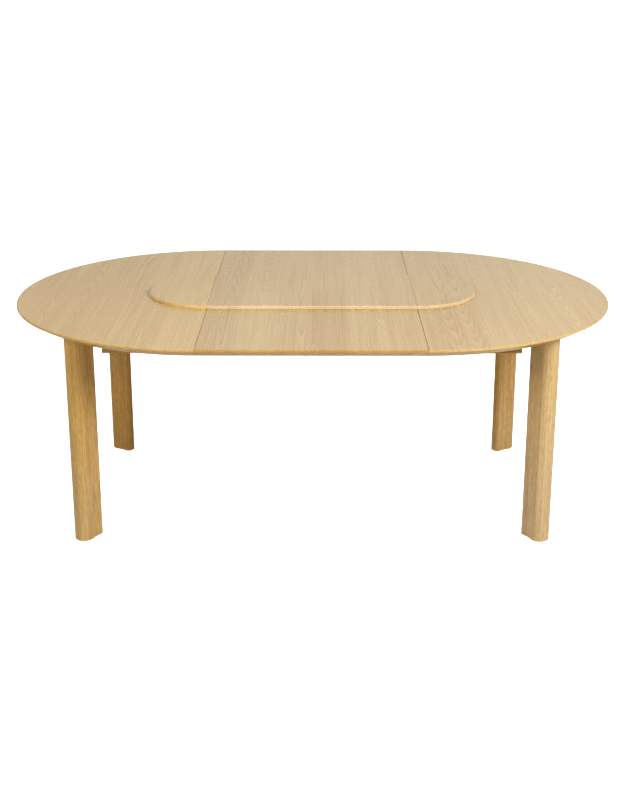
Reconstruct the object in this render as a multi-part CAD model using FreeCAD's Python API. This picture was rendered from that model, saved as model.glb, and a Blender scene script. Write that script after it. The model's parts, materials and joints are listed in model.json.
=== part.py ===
import FreeCAD, Part
import math
import os

Vector = FreeCAD.Vector

# Extending dining table, drawn out with its leaf in. Millimetres.
# X runs along the length, Z is up, the floor is Z = 0 and the middle of the leaf is X = Y = 0.
# The right half is the left half turned half a turn about Z, so front and back swap sides.

# Top boards
table_height = 750.0
half_radius = 675.0
leaf_length = 710.0
joint_gap = 0.6
joint_arris = 1.0
board_thickness = 32.0
nose_height = 8.0
nose_top_radius = 3.0
nose_lower_radius = 2.0
bevel_width = 42.0

# Raised platform on the boards
platform_rise = 12.0
platform_radius = 217.0
platform_top_radius = 3.0
platform_foot_radius = 1.0

# Legs: keyhole section, round head outwards and slim fin inwards
leg_edge_inset = 57.0
leg_depth = 100.0
leg_head_ratio = 0.67
leg_fin_ratio = 0.42
leg_fin_flare = 1.0
leg_fin_corner_ratio = 0.185
leg_waist_ratio = 0.55
leg_angle = 45.0
leg_foot_chamfer = 1.5

# Foot glides
glide_head_diameter = 40.0
glide_fin_diameter = 22.0
glide_fin_inset = 20.0
glide_thickness = 5.0
glide_proud = 1.0
glide_edge = 0.6

# Leg plates, between each leg and the board
plate_thickness = 5.0
plate_side_reach = 6.5
plate_corner = 12.0
plate_inner_reach = 36.0
plate_outer_inset = 14.0
plate_bolt_inset = 12.0
plate_bolt_edge = 9.0
plate_bolt_head_gap = 18.0

# Fasteners
bolt_diameter = 8.0
bolt_length = 25.0
bolt_head_diameter = 13.0
bolt_head_height = 5.0
leg_screw_diameter = 6.0
leg_screw_head = 11.0
leg_screw_length = 60.0
leg_screw_end_margin = 28.0
leg_screw_count = 3
wood_screw_diameter = 5.0
wood_screw_head = 10.0
wood_screw_head_height = 2.5
wood_screw_bite = 18.0
pan_head_ease = 0.8
pan_tip_chamfer = 1.2
screw_hole_clearance = 0.2

# Side rails under each half
apron_depth = 64.0
apron_thickness = 24.0
apron_arris = 3.0
apron_outset = 43.0
apron_leg_gap = 25.0
apron_screw_sink = 30.0
apron_screw_count = 3
apron_screw_end_margin = 40.0

# Slide runners
runner_width = 26.0
runner_depth = 50.0
runner_apron_gap = 40.0
runner_past_centre = 70.0
runner_end_slope = 22.0
runner_relief = 0.4
runner_screw_sink = 28.0
runner_screw_count = 3
runner_screw_end_margin = 40.0
slide_clearance = 0.3
tongue_depth = 7.5
tongue_height = 9.4
tongue_drop = 13.5

# Centre carriers
carrier_head_depth = 27.0
carrier_stem_width = 26.0
carrier_below_runner = 1.0

# Racks and pinions
gear_module = 2.0
pinion_teeth = 18
gear_root_ratio = 1.25
pressure_angle = 20.0
gear_backlash = 0.3
rack_back_thickness = 3.5
rack_height = 14.0
rack_rise = 3.0
rack_spare_teeth = 2
over_travel = 40.0
pinion_width = 12.0
pinion_hub_diameter = 20.0
pinion_pocket_room = 4.0
axle_diameter = 8.0
axle_clearance = 0.2
axle_flange_diameter = 16.0
axle_flange_height = 3.0
axle_grip = 20.0

# Stops: a lug on each rack meets a dowel in the carrier
stop_lug_length = 6.0
stop_dowel_diameter = 6.0
stop_dowel_drop = 5.0
stop_dowel_cover = 1.5
stop_clearance = 0.5

# Cross battens that tie the two carriers together
cross_batten_width = 60.0
cross_batten_thickness = 15.0
cross_batten_corner = 12.0
cross_batten_end_margin = 126.0
cross_batten_screw_length = 32.0
cross_batten_screw_spacing = 32.0

# End cleats under the halves
cleat_edge_inset = 205.0
cleat_leg_gap = 60.0
cleat_width = 50.0
cleat_thickness = 22.0
cleat_end_slope = 14.0
cleat_screw_count = 4
cleat_screw_end_margin = 50.0

# Leaf battens and locating pegs
leaf_batten_end_margin = 155.0
leaf_batten_width = 56.0
leaf_batten_thickness = 20.0
leaf_batten_runner_gap = 10.0
leaf_batten_end_slope = 12.0
leaf_batten_screw_count = 4
leaf_batten_screw_end_margin = 40.0
peg_diameter = 10.0
peg_drop = 20.0
peg_seat = 15.0
peg_tip = 2.0
peg_end_margin = 84.0
peg_hole_clearance = 0.3

# Leaf latches
latch_offset = 130.0
latch_pivot_inset = 22.0
latch_reach = 44.0
latch_thickness = 4.0
latch_width = 12.0
latch_eye_radius = 9.0
latch_hook_radius = 10.0
latch_tab_length = 24.0
latch_tab_width = 9.0
latch_pin_diameter = 6.0
latch_bore_clearance = 0.25
latch_hook_clearance = 1.5
latch_plate_thickness = 3.0
latch_plate_width = 26.0
latch_plate_length = 40.0
latch_plate_corner = 4.0
latch_gap = 0.4
latch_rivet_diameter = 11.0
latch_rivet_height = 1.6

# Places worked out from the sizes above
origin = Vector(0, 0, 0)
up = Vector(0, 0, 1)
underside = table_height - board_thickness
platform_top = table_height + platform_rise
joint_x = leaf_length / 2
half_centre_x = joint_x + joint_gap
leg_head_diameter = leg_head_ratio * leg_depth
leg_fin_width = leg_fin_ratio * leg_depth
leg_fin_corner = leg_fin_corner_ratio * leg_depth
leg_waist_radius = leg_waist_ratio * leg_depth
leg_inner_radius = half_radius - leg_edge_inset - leg_depth
leg_turn = math.radians(leg_angle)
leg_fin_x = half_centre_x + leg_inner_radius * math.cos(leg_turn)
leg_fin_y = leg_inner_radius * math.sin(leg_turn)
leg_top = underside - plate_thickness
plate_inner_radius = leg_inner_radius - plate_inner_reach
plate_outer_radius = leg_inner_radius + leg_depth - plate_outer_inset
plate_width = leg_head_diameter + 2 * plate_side_reach
apron_end_x = leg_fin_x - leg_fin_width / 2 * math.sin(leg_turn) - apron_leg_gap
apron_outer_y = leg_fin_y + apron_outset
pitch_radius = gear_module * pinion_teeth / 2
tooth_pitch = math.pi * gear_module
tip_height = gear_module
root_depth = gear_root_ratio * gear_module
runner_face = pitch_radius + root_depth + rack_back_thickness
runner_bottom = underside - runner_depth
slide_y = apron_outer_y - apron_thickness - runner_apron_gap - runner_width - runner_face
carrier_half_length = apron_end_x - half_centre_x
carrier_head_bottom = underside - carrier_head_depth
carrier_bottom = runner_bottom - carrier_below_runner
rack_bottom = runner_bottom + rack_rise
pinion_bottom = rack_bottom + (rack_height - pinion_width) / 2
cross_batten_bottom = carrier_bottom - cross_batten_thickness
cross_batten_station = carrier_half_length - cross_batten_end_margin
leaf_batten_station = joint_x - leaf_batten_end_margin
groove_bottom = underside - tongue_drop - tongue_height / 2 - slide_clearance
rack_top = rack_bottom + rack_height
rack_left_teeth = math.ceil(joint_x / tooth_pitch) + rack_spare_teeth
rack_right_teeth = math.ceil(over_travel / tooth_pitch) + rack_spare_teeth
stop_lug_x = rack_right_teeth * tooth_pitch - stop_lug_length
stop_dowel_x = stop_lug_x - over_travel - slide_clearance - stop_dowel_diameter / 2
stop_dowel_offset = (runner_face + carrier_stem_width / 2) / 2
stop_dowel_grip = groove_bottom - stop_dowel_cover - carrier_head_bottom
latch_top = underside - latch_plate_thickness - latch_gap
latch_pivot_x = half_centre_x + latch_pivot_inset
strike_x = latch_pivot_x - latch_reach


def on_xy(a, b):
    return Vector(a, b, 0)


def on_xz(a, b):
    return Vector(a, 0, b)


def on_yz(a, b):
    return Vector(0, a, b)


def outline_face(corners):
    """Flat face inside a closed outline whose corners are (point, rounding radius)."""
    count = len(corners)
    entries = []
    exits = []
    edges = []
    for i in range(count):
        point, radius = corners[i]
        to_last = (corners[i - 1][0] - point).normalize()
        to_next = (corners[(i + 1) % count][0] - point).normalize()
        half_angle = to_last.getAngle(to_next) / 2
        setback = radius / math.tan(half_angle)
        entries.append(point + to_last * setback)
        exits.append(point + to_next * setback)
    for i in range(count):
        point, radius = corners[i]
        if radius > 0:
            chord_middle = (entries[i] + exits[i]) / 2
            half_chord = (exits[i] - entries[i]).Length / 2
            sagitta = radius - math.sqrt(radius ** 2 - half_chord ** 2)
            middle = chord_middle + (point - chord_middle).normalize() * sagitta
            edges.append(Part.Arc(entries[i], middle, exits[i]).toShape())
        edges.append(Part.makeLine(exits[i], entries[(i + 1) % count]))
    return Part.Face(Part.Wire(edges))


def sharp_face(points):
    return Part.Face(Part.makePolygon(points + points[:1]))


def rod(diameter, length, x, y, z):
    """Upright cylinder that starts at the given point."""
    return Part.makeCylinder(diameter / 2, length, Vector(x, y, z), up)


def turned(points):
    """Solid of revolution about Z from (radius, height) points."""
    return sharp_face([on_xz(a, b) for a, b in points]).revolve(origin, up, 360)


def moved(shape, x=0.0, y=0.0, z=0.0):
    return shape.translated(Vector(x, y, z))


def half_turned(shape):
    return shape.rotated(origin, up, 180)


def bored(shape, cutters):
    return shape.cut(Part.makeCompound(cutters))


def evenly(first, last, count):
    return [first + (last - first) * i / (count - 1) for i in range(count)]


def countersunk_screw(head, shank, length):
    """Screw that points up from a flush head at Z = 0, with 45 degree cones at both ends."""
    cone = (head - shank) / 2
    point = shank / 2
    profile = [(0, 0), (head / 2, 0), (shank / 2, cone), (shank / 2, length - point), (0, length)]
    return turned(profile)


def pan_screw(head, head_height, shank, length):
    """Screw that points up, with its head below Z = 0."""
    profile = [(0, -head_height), (head / 2 - pan_head_ease, -head_height)]
    profile += [(head / 2, -head_height + pan_head_ease), (head / 2, 0), (shank / 2, 0)]
    profile += [(shank / 2, length - pan_tip_chamfer), (shank / 2 - pan_tip_chamfer, length), (0, length)]
    return turned(profile)


def grown(solid_maker, *sizes):
    """The same fastener with clearance all round, as a cutter."""
    return solid_maker(*[size + screw_hole_clearance for size in sizes])


def joint_arris_cutter(x, z, into_board):
    """Wedge along Y that eases the upper edge of a joint face."""
    reach = 2 * half_radius
    corners = [Vector(x, -half_radius, z), Vector(x + into_board * joint_arris, -half_radius, z)]
    corners.append(Vector(x, -half_radius, z - joint_arris))
    return sharp_face(corners).extrude(Vector(0, reach, 0))


def half_disc(corners):
    """Half of a turned disc, on the side away from the leaf, at the left joint."""
    disc = outline_face(corners).revolve(origin, up, 180)
    return moved(disc.rotated(origin, up, 90), -half_centre_x)


def board_edge(reach):
    """Corners of the board's edge, from the underside to the top face."""
    return [
        (reach - bevel_width, underside, 0),
        (reach, table_height - nose_height, nose_lower_radius),
        (reach, table_height, nose_top_radius),
    ]


def platform_edge(reach):
    return [(reach, table_height, platform_foot_radius), (reach, platform_top, platform_top_radius)]


def from_axis(edge, bottom, top):
    corners = [(on_xz(0, bottom), 0)]
    corners += [(on_xz(a, b), radius) for a, b, radius in edge]
    return corners + [(on_xz(0, top), 0)]


def both_sides(edge):
    corners = [(on_yz(a, b), radius) for a, b, radius in edge]
    corners += [(on_yz(-a, b), radius) for a, b, radius in reversed(edge)]
    return corners


def leaf_strip(edge, top):
    strip = outline_face(both_sides(edge)).extrude(Vector(leaf_length, 0, 0))
    strip = moved(strip, -joint_x)
    return bored(strip, [joint_arris_cutter(-joint_x, top, 1), joint_arris_cutter(joint_x, top, -1)])


def leg_section():
    """Keyhole face with its fin's end at X = 0 and its head's end at X = leg_depth."""
    head_radius = leg_head_diameter / 2
    head = on_xy(leg_depth - head_radius, 0)
    flare = math.radians(leg_fin_flare)
    along = on_xy(math.cos(flare), math.sin(flare))
    outwards = on_xy(-math.sin(flare), math.cos(flare))
    fin_end = on_xy(0, leg_fin_width / 2)
    corner_y = fin_end.y - leg_fin_corner * (1 - math.sin(flare)) / math.cos(flare)
    corner = on_xy(leg_fin_corner, corner_y)
    offset = fin_end + outwards * leg_waist_radius - head
    reach = head_radius + leg_waist_radius
    swing = offset.dot(along)
    run = -swing - math.sqrt(swing ** 2 - offset.dot(offset) + reach ** 2)
    waist = fin_end + along * run + outwards * leg_waist_radius
    waist_to_head = (head - waist).normalize()
    corner_start = on_xy(0, corner_y)
    corner_middle = corner + (outwards - on_xy(1, 0)).normalize() * leg_fin_corner
    corner_end = corner + outwards * leg_fin_corner
    waist_start = fin_end + along * run
    waist_middle = waist + (waist_to_head - outwards).normalize() * leg_waist_radius
    waist_end = waist + waist_to_head * leg_waist_radius
    side = [
        Part.Arc(corner_start, corner_middle, corner_end).toShape(),
        Part.makeLine(corner_end, waist_start),
        Part.Arc(waist_start, waist_middle, waist_end).toShape(),
    ]
    other_waist_end = on_xy(waist_end.x, -waist_end.y)
    head_arc = Part.Arc(waist_end, on_xy(leg_depth, 0), other_waist_end).toShape()
    other_side = [edge.mirror(origin, Vector(0, 1, 0)) for edge in side]
    fin_face = Part.makeLine(on_xy(0, -corner_y), corner_start)
    return Part.Face(Part.Wire(Part.__sortEdges__(side + other_side + [head_arc, fin_face])))


def at_leg(shape, side):
    """Put a piece, drawn along X from the half's centre, on the left front (-1) or back (1) leg."""
    turn = 180 - side * leg_angle
    return moved(shape.rotated(origin, up, turn), -half_centre_x)


def at_both_legs(solids):
    return [at_leg(solid, side) for side in (-1, 1) for solid in solids]


def glide_places():
    head = leg_inner_radius + leg_depth - leg_head_diameter / 2
    return [(head, glide_head_diameter), (leg_inner_radius + glide_fin_inset, glide_fin_diameter)]


def leg_screw_places():
    first = leg_inner_radius + leg_screw_end_margin
    last = leg_inner_radius + leg_depth - leg_screw_end_margin
    return evenly(first, last, leg_screw_count)


def plate_bolt_places():
    inner = plate_inner_radius + plate_bolt_inset
    outer = leg_inner_radius + leg_depth - leg_head_diameter - plate_bolt_head_gap
    side = plate_width / 2 - plate_bolt_edge
    return [(x, y) for x in (inner, outer) for y in (-side, side)]


def leg_screw_set(maker):
    screw = maker(leg_screw_head, leg_screw_diameter, leg_screw_length)
    screw = screw.rotated(origin, Vector(1, 0, 0), 180)
    return [moved(screw, x, 0, underside) for x in leg_screw_places()]


def leg_screw_cutter(*sizes):
    return grown(countersunk_screw, *sizes)


def make_leg():
    leg = leg_section().extrude(Vector(0, 0, leg_top - glide_proud))
    foot_edges = [edge for edge in leg.Edges if edge.BoundBox.ZMax < leg_foot_chamfer]
    leg = moved(leg.makeChamfer(leg_foot_chamfer, foot_edges), leg_inner_radius, 0, glide_proud)
    cutters = [rod(size, glide_thickness - glide_proud, x, 0, glide_proud) for x, size in glide_places()]
    return bored(leg, cutters + leg_screw_set(leg_screw_cutter))


def make_glides():
    glides = []
    for x, size in glide_places():
        radius = size / 2
        profile = [(0, 0), (radius - glide_edge, 0), (radius, glide_edge)]
        profile += [(radius, glide_thickness), (0, glide_thickness)]
        glides.append(moved(turned(profile), x))
    return glides


def make_leg_plate():
    side = plate_width / 2
    corners = [(plate_inner_radius, -side), (plate_outer_radius, -side)]
    corners += [(plate_outer_radius, side), (plate_inner_radius, side)]
    plate = outline_face([(on_xy(x, y), plate_corner) for x, y in corners])
    plate = moved(plate.extrude(up * plate_thickness), 0, 0, leg_top)
    hole = bolt_diameter + screw_hole_clearance
    cutters = [rod(hole, plate_thickness, x, y, leg_top) for x, y in plate_bolt_places()]
    return bored(plate, cutters + leg_screw_set(leg_screw_cutter))


def make_plate_bolts():
    bolt = pan_screw(bolt_head_diameter, bolt_head_height, bolt_diameter, bolt_length)
    return [moved(bolt, x, y, leg_top) for x, y in plate_bolt_places()]


def plate_bolt_holes():
    hole = bolt_diameter + screw_hole_clearance
    depth = bolt_length - plate_thickness + screw_hole_clearance
    return [rod(hole, depth, x, y, underside) for x, y in plate_bolt_places()]


def sunk_screw(grip):
    """Pan screw whose head bears at Z = 0, long enough to bite into the board above the grip."""
    length = grip + wood_screw_bite
    return pan_screw(wood_screw_head, wood_screw_head_height, wood_screw_diameter, length)


def sunk_screws(places, bearing):
    return [moved(sunk_screw(underside - bearing), x, y, bearing) for x, y in places]


def sunk_screw_holes(places, bearing, bottom):
    """Counterbore and shank hole for each sunk screw."""
    hole = wood_screw_diameter + screw_hole_clearance
    sink = wood_screw_head + screw_hole_clearance
    holes = [rod(hole, underside - bearing, x, y, bearing) for x, y in places]
    return holes + [rod(sink, bearing - bottom, x, y, bottom) for x, y in places]


def board_holes(places):
    """Blind holes in the underside of a board for the screws that bite there."""
    hole = wood_screw_diameter + screw_hole_clearance
    return [rod(hole, wood_screw_bite + screw_hole_clearance, x, y, underside) for x, y in places]


def make_apron():
    """Left front side rail."""
    inner = apron_outer_y - apron_thickness
    bottom = underside - apron_depth
    corners = [(apron_outer_y, bottom, apron_arris), (apron_outer_y, underside, 0)]
    corners += [(inner, underside, 0), (inner, bottom, apron_arris)]
    rail = outline_face([(on_yz(-a, b), radius) for a, b, radius in corners])
    rail = moved(rail.extrude(Vector(apron_end_x - half_centre_x, 0, 0)), -apron_end_x)
    return bored(rail, sunk_screw_holes(apron_screw_places(), apron_bearing(), bottom))


def apron_bearing():
    return underside - apron_depth + apron_screw_sink


def apron_screw_places():
    first = -apron_end_x + apron_screw_end_margin
    last = -half_centre_x - apron_screw_end_margin
    middle = -apron_outer_y + apron_thickness / 2
    return [(x, middle) for x in evenly(first, last, apron_screw_count)]


def make_runner():
    """Left front runner: fast to the left half, with a free end under the leaf."""
    relieved = underside - runner_relief
    points = [(-apron_end_x, underside), (-apron_end_x, runner_bottom + runner_end_slope)]
    points += [(-apron_end_x + runner_end_slope, runner_bottom), (runner_past_centre, runner_bottom)]
    points += [(runner_past_centre, relieved), (-half_centre_x, relieved), (-half_centre_x, underside)]
    face_y = -slide_y - runner_face
    bar = sharp_face([on_xz(a, b) for a, b in points]).extrude(Vector(0, -runner_width, 0))
    tongue_bottom = underside - tongue_drop - tongue_height / 2
    corner = Vector(-apron_end_x, face_y, tongue_bottom)
    tongue = Part.makeBox(apron_end_x + runner_past_centre, tongue_depth, tongue_height, corner)
    runner = moved(bar, 0, face_y).fuse(tongue).removeSplitter()
    return bored(runner, sunk_screw_holes(runner_screw_places(), runner_bearing(), runner_bottom))


def runner_bearing():
    return underside - runner_screw_sink


def runner_screw_places():
    first = -apron_end_x + runner_screw_end_margin
    last = -half_centre_x - runner_screw_end_margin
    middle = -slide_y - runner_face - runner_width / 2
    return [(x, middle) for x in evenly(first, last, runner_screw_count)]


def make_rack():
    """Toothed strip on the left front runner, with a stop lug; a space faces the pinion at X = 0."""
    pitch_y = -slide_y - pitch_radius
    slope = math.tan(math.radians(pressure_angle))
    half_tooth = tooth_pitch / 4 - gear_backlash / 2
    half_tip = half_tooth - tip_height * slope
    half_root = half_tooth + root_depth * slope
    back_y = pitch_y - root_depth - rack_back_thickness
    root_y = pitch_y - root_depth
    tip_y = pitch_y + tip_height
    left_end = -rack_left_teeth * tooth_pitch
    right_end = rack_right_teeth * tooth_pitch
    points = [(left_end, back_y), (left_end, root_y)]
    for i in range(-rack_left_teeth, rack_right_teeth):
        middle = (i + 0.5) * tooth_pitch
        points += [(middle - half_root, root_y), (middle - half_tip, tip_y)]
        points += [(middle + half_tip, tip_y), (middle + half_root, root_y)]
    points += [(right_end, root_y), (right_end, back_y)]
    strip = sharp_face([on_xy(a, b) for a, b in points]).extrude(up * rack_height)
    lug_width = runner_face - stop_dowel_offset + stop_dowel_diameter / 2
    lug_height = carrier_head_bottom - stop_clearance - rack_top
    lug = Part.makeBox(stop_lug_length, lug_width, lug_height, Vector(stop_lug_x, back_y, rack_top))
    return moved(strip, 0, 0, rack_bottom).fuse(lug).removeSplitter()


def polar(radius, angle):
    return on_xy(radius * math.cos(angle), radius * math.sin(angle))


def involute(angle):
    return math.tan(angle) - angle


def pinion_section():
    """Involute gear face, with a tooth towards each rack."""
    pressure = math.radians(pressure_angle)
    base_radius = pitch_radius * math.cos(pressure)
    root_radius = pitch_radius - root_depth
    tip_radius = pitch_radius + tip_height
    middle_radius = (base_radius + tip_radius) / 2
    half_pitch_tooth = math.pi / (2 * pinion_teeth) - gear_backlash / (2 * pitch_radius)

    def half_tooth(radius):
        return half_pitch_tooth + involute(pressure) - involute(math.acos(base_radius / radius))

    edges = []
    step = 2 * math.pi / pinion_teeth
    for i in range(pinion_teeth):
        middle = math.pi / 2 + i * step
        base = half_tooth(base_radius)
        waist = half_tooth(middle_radius)
        tip = half_tooth(tip_radius)
        root_start = polar(root_radius, middle - base)
        base_start = polar(base_radius, middle - base)
        tip_start = polar(tip_radius, middle - tip)
        tip_end = polar(tip_radius, middle + tip)
        base_end = polar(base_radius, middle + base)
        root_end = polar(root_radius, middle + base)
        next_root = polar(root_radius, middle + step - base)
        edges.append(Part.makeLine(root_start, base_start))
        edges.append(Part.Arc(base_start, polar(middle_radius, middle - waist), tip_start).toShape())
        edges.append(Part.makeLine(tip_start, tip_end))
        edges.append(Part.Arc(tip_end, polar(middle_radius, middle + waist), base_end).toShape())
        edges.append(Part.makeLine(base_end, root_end))
        edges.append(Part.makeLine(root_end, next_root))
    return Part.Face(Part.Wire(edges))


def make_pinion():
    """Front pinion: gear below, hub up to the carrier's head."""
    gear = moved(pinion_section().extrude(up * pinion_width), 0, 0, pinion_bottom)
    gear_top = pinion_bottom + pinion_width
    hub_height = carrier_head_bottom - slide_clearance - gear_top
    hub = rod(pinion_hub_diameter, hub_height, 0, 0, gear_top)
    bore = axle_diameter + 2 * axle_clearance
    wheel = gear.fuse(hub).removeSplitter()
    wheel = bored(wheel, [rod(bore, pinion_width + hub_height, 0, 0, pinion_bottom)])
    return moved(wheel, 0, -slide_y)


def make_axle():
    """Front axle: pressed up into the carrier, with a flange under the pinion."""
    flange_top = pinion_bottom - slide_clearance
    radius = axle_diameter / 2
    flange = axle_flange_diameter / 2
    top = carrier_head_bottom + axle_grip
    profile = [(0, flange_top - axle_flange_height), (flange, flange_top - axle_flange_height)]
    profile += [(flange, flange_top), (radius, flange_top), (radius, top), (0, top)]
    return moved(turned(profile), 0, -slide_y)


def make_carrier():
    """Front carrier: T-section bar with a groove each side for the runners' tongues."""
    head = runner_face - slide_clearance
    groove = runner_face - tongue_depth - slide_clearance
    groove_top = underside - tongue_drop + tongue_height / 2 + slide_clearance
    stem = carrier_stem_width / 2
    side = [(head, underside), (head, groove_top), (groove, groove_top), (groove, groove_bottom)]
    side += [(head, groove_bottom), (head, carrier_head_bottom), (stem, carrier_head_bottom)]
    side += [(stem, carrier_bottom)]
    points = [on_yz(a, b) for a, b in side] + [on_yz(-a, b) for a, b in reversed(side)]
    bar = moved(sharp_face(points).extrude(Vector(2 * carrier_half_length, 0, 0)), -carrier_half_length)
    pocket = pitch_radius + tip_height + pinion_pocket_room
    pocket_corner = Vector(-pocket, -stem, carrier_bottom)
    cutters = [Part.makeBox(2 * pocket, 2 * stem, carrier_head_bottom - carrier_bottom, pocket_corner)]
    cutters.append(rod(axle_diameter, axle_grip, 0, 0, carrier_head_bottom))
    for x, y in stop_dowel_places():
        cutters.append(rod(stop_dowel_diameter, stop_dowel_grip, x, y, carrier_head_bottom))
    peg_hole = peg_diameter + 2 * peg_hole_clearance
    peg_depth = peg_drop + peg_hole_clearance
    for x in peg_stations():
        cutters.append(rod(peg_hole, peg_depth, x, 0, underside - peg_depth))
    screw = grown(countersunk_screw, *cross_batten_screw_sizes())
    cutters += [moved(screw, x, 0, cross_batten_bottom) for x in cross_batten_screw_stations()]
    return moved(bored(bar, cutters), 0, -slide_y)


def stop_dowel_places():
    """Places of the two stop dowels, seen from the middle of their carrier."""
    return [(stop_dowel_x, -stop_dowel_offset), (-stop_dowel_x, stop_dowel_offset)]


def make_stop_dowels():
    """Front pair of stop dowels."""
    length = stop_dowel_drop + stop_dowel_grip
    bottom = carrier_head_bottom - stop_dowel_drop
    return [rod(stop_dowel_diameter, length, x, y - slide_y, bottom) for x, y in stop_dowel_places()]


def peg_stations():
    station = carrier_half_length - peg_end_margin
    return [-station, station]


def cross_batten_screw_sizes():
    return wood_screw_head, wood_screw_diameter, cross_batten_screw_length


def cross_batten_screw_stations():
    offset = cross_batten_screw_spacing / 2
    return [x + step for x in (-cross_batten_station, cross_batten_station) for step in (-offset, offset)]


def cross_batten_screw_places():
    return [(x, y) for x in cross_batten_screw_stations() for y in (-slide_y, slide_y)]


def make_cross_batten():
    """Left cross batten, under both carriers."""
    half_width = cross_batten_width / 2
    end = slide_y + runner_face
    corners = [(-half_width, -end), (half_width, -end), (half_width, end), (-half_width, end)]
    board = outline_face([(on_xy(x, y), cross_batten_corner) for x, y in corners])
    board = moved(board.extrude(up * cross_batten_thickness), -cross_batten_station, 0, cross_batten_bottom)
    cutter = grown(countersunk_screw, *cross_batten_screw_sizes())
    places = [place for place in cross_batten_screw_places() if place[0] < 0]
    return bored(board, [moved(cutter, x, y, cross_batten_bottom) for x, y in places])


def make_cross_batten_screws():
    screw = countersunk_screw(*cross_batten_screw_sizes())
    return [moved(screw, x, y, cross_batten_bottom) for x, y in cross_batten_screw_places()]


def sloped_batten(half_length, width, thickness, end_slope):
    """Board along Y under the top, with its lower ends cut back at 45 degrees."""
    bottom = underside - thickness
    side = [(half_length, underside), (half_length, bottom + end_slope), (half_length - end_slope, bottom)]
    points = [on_yz(a, b) for a, b in side] + [on_yz(-a, b) for a, b in reversed(side)]
    return moved(sharp_face(points).extrude(Vector(width, 0, 0)), -width / 2)


def cleat_half_length():
    return leg_fin_y - leg_fin_width / 2 - cleat_leg_gap


def cleat_x():
    return -half_centre_x - half_radius + cleat_edge_inset


def cleat_screw_places():
    end = cleat_half_length() - cleat_screw_end_margin
    return [(cleat_x(), y) for y in evenly(-end, end, cleat_screw_count)]


def board_screw_set(maker, places, thickness):
    """Countersunk screws up through a batten of the given thickness into the board."""
    screw = maker(wood_screw_head, wood_screw_diameter, thickness + wood_screw_bite)
    return [moved(screw, x, y, underside - thickness) for x, y in places]


def board_screw_cutter(*sizes):
    return grown(countersunk_screw, *sizes)


def make_cleat():
    cleat = sloped_batten(cleat_half_length(), cleat_width, cleat_thickness, cleat_end_slope)
    cleat = moved(cleat, cleat_x())
    return bored(cleat, board_screw_set(board_screw_cutter, cleat_screw_places(), cleat_thickness))


def leaf_batten_half_length():
    return slide_y - runner_face - runner_width - leaf_batten_runner_gap


def leaf_batten_screw_places():
    end = leaf_batten_half_length() - leaf_batten_screw_end_margin
    stations = (-leaf_batten_station, leaf_batten_station)
    return [(x, y) for x in stations for y in evenly(-end, end, leaf_batten_screw_count)]


def make_leaf_batten():
    """Left leaf batten."""
    batten = sloped_batten(
        leaf_batten_half_length(), leaf_batten_width, leaf_batten_thickness, leaf_batten_end_slope
    )
    batten = moved(batten, -leaf_batten_station)
    return bored(batten, leaf_batten_screw_set(board_screw_cutter))


def leaf_batten_screw_set(maker):
    return board_screw_set(maker, leaf_batten_screw_places(), leaf_batten_thickness)


def peg_places():
    return [(x, y) for x in peg_stations() for y in (-slide_y, slide_y)]


def make_pegs():
    radius = peg_diameter / 2
    bottom = underside - peg_drop
    top = underside + peg_seat
    profile = [(0, bottom), (radius - peg_tip, bottom), (radius, bottom + peg_tip), (radius, top), (0, top)]
    return [moved(turned(profile), x, y) for x, y in peg_places()]


def latch_plate(centre_x):
    """Screw plate under a board, drawn about the given X."""
    half_length = latch_plate_length / 2
    half_width = latch_plate_width / 2
    corners = [(-half_width, -half_length), (half_width, -half_length)]
    corners += [(half_width, half_length), (-half_width, half_length)]
    face = outline_face([(on_xy(x, y), latch_plate_corner) for x, y in corners])
    return moved(face.extrude(up * latch_plate_thickness), centre_x, 0, underside - latch_plate_thickness)


def make_latch_base():
    """Plate with a riveted pivot pin, at Y = 0 under the left half."""
    pin_length = latch_thickness + 2 * latch_gap
    rivet_top = underside - latch_plate_thickness - pin_length
    pin = rod(latch_pin_diameter, pin_length, -latch_pivot_x, 0, rivet_top)
    rivet = rod(latch_rivet_diameter, latch_rivet_height, -latch_pivot_x, 0, rivet_top - latch_rivet_height)
    return latch_plate(-latch_pivot_x).fuse([pin, rivet]).removeSplitter()


def make_strike():
    """Plate with a plain pin for the hook, at Y = 0 under the leaf's left end."""
    pin_length = latch_thickness + 2 * latch_gap
    pin_bottom = underside - latch_plate_thickness - pin_length
    pin = rod(latch_pin_diameter, pin_length, -strike_x, 0, pin_bottom)
    return latch_plate(-strike_x).fuse(pin).removeSplitter()


def make_hook():
    """Latch hook about its pivot at the origin, shut along +X, with its mouth towards -Y."""
    eye = Part.makeCylinder(latch_eye_radius, latch_thickness)
    hook = Part.makeCylinder(latch_hook_radius, latch_thickness, Vector(latch_reach, 0, 0))
    half_width = latch_width / 2
    bar = Part.makeBox(latch_reach, latch_width, latch_thickness, Vector(0, -half_width, 0))
    half_tab = latch_tab_width / 2
    tab_length = latch_tab_length - half_tab
    tab = Part.makeBox(tab_length, latch_tab_width, latch_thickness, Vector(latch_reach, -half_tab, 0))
    tab_end = Part.makeCylinder(half_tab, latch_thickness, Vector(latch_reach + tab_length, 0, 0))
    solid = eye.fuse([hook, bar, tab, tab_end]).removeSplitter()
    mouth = latch_pin_diameter / 2 + latch_hook_clearance
    ring = Part.makeCylinder(latch_reach + mouth, latch_thickness)
    ring = ring.cut(Part.makeCylinder(latch_reach - mouth, latch_thickness))
    open_side = Part.makeBox(
        2 * latch_reach, latch_reach, latch_thickness, Vector(0, -latch_reach, 0)
    )
    seat = Part.makeCylinder(mouth, latch_thickness, Vector(latch_reach, 0, 0))
    bore = Part.makeCylinder(latch_pin_diameter / 2 + latch_bore_clearance, latch_thickness)
    return bored(solid, [ring.common(open_side), seat, bore])


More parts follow.
